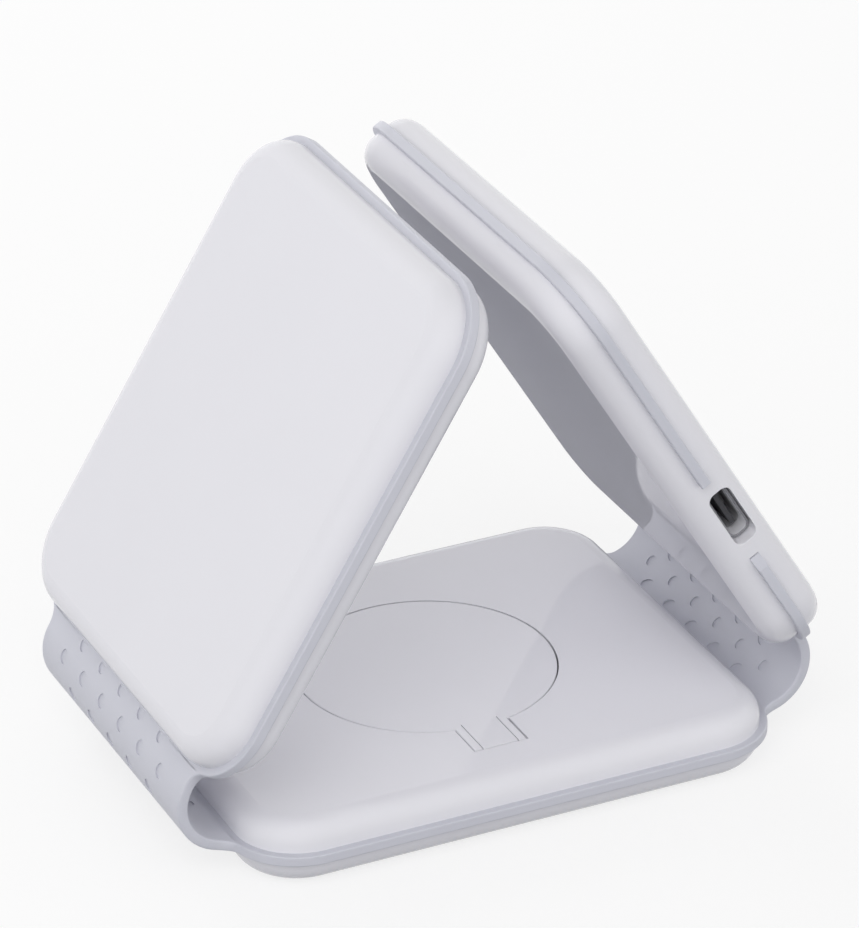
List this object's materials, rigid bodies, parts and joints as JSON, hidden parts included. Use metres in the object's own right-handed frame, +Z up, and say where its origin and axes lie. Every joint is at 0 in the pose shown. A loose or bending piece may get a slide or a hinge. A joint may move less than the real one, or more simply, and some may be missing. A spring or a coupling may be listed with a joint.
{
  "type": "folding charging station",
  "caption": "Folding travel charger: pads in gloss white shells joined by dimpled grey silicone folds, standing as a tent, with a pop-up watch puck in the base and a charging socket.",
  "frame": {"origin": "centre of the base pad's underside, on the table", "axes": "+Z up; X along the row of pads, the left fold at -X and the right fold at +X; +Y to the back, so the socket faces -Y"},
  "size_m": [0.095, 0.0666, 0.0808],
  "materials": {
    "shell": "gloss white",
    "silicone": "matte cool grey",
    "steel": "drawn steel",
    "contact": "black insulator",
    "copper": "enamelled copper wire",
    "ferrite": "dark ferrite sheet",
    "magnet": "nickel plated",
    "board": "green solder mask",
    "chip": "black moulded"
  },
  "bodies": {
    "base": {"base_cover": "shell", "base_back": "shell", "base_band": "silicone", "left_fold": "silicone", "right_fold": "silicone", "puck_pin": "steel", "base_board": "board", "base_board_chips": "chip"},
    "left_pad": {"left_cover": "shell", "left_back": "shell", "left_band": "silicone", "phone_coil": "copper", "phone_ferrite": "ferrite", "phone_magnets": "magnet"},
    "right_pad": {"right_cover": "shell", "right_back": "shell", "right_band": "silicone", "earbud_coil": "copper", "earbud_ferrite": "ferrite", "main_board": "board", "board_chips": "chip", "usb_socket": "steel", "socket_blade": "contact"},
    "puck": {"puck_cover": "shell", "puck_cup": "shell", "watch_coil": "copper", "watch_magnet": "magnet", "watch_ferrite": "ferrite"}
  },
  "joints": [
    {"name": "left_fold_hinge", "type": "hinge", "parent": "base", "child": "left_pad", "pos_m": [-0.04591, 0, 0.00796], "axis": [0, -1, 0], "range_deg": [0, 121.75], "deforming": ["left_fold"]},
    {"name": "right_fold_hinge", "type": "hinge", "parent": "base", "child": "right_pad", "pos_m": [0.0459, 0, 0.00795], "axis": [0, 1, 0], "range_deg": [0, 121.4], "deforming": ["right_fold"]},
    {"name": "puck_hinge", "type": "hinge", "parent": "base", "child": "puck", "pos_m": [0, -0.0227, 0.00855], "axis": [1, 0, 0], "range_deg": [0, 90]}
  ]
}
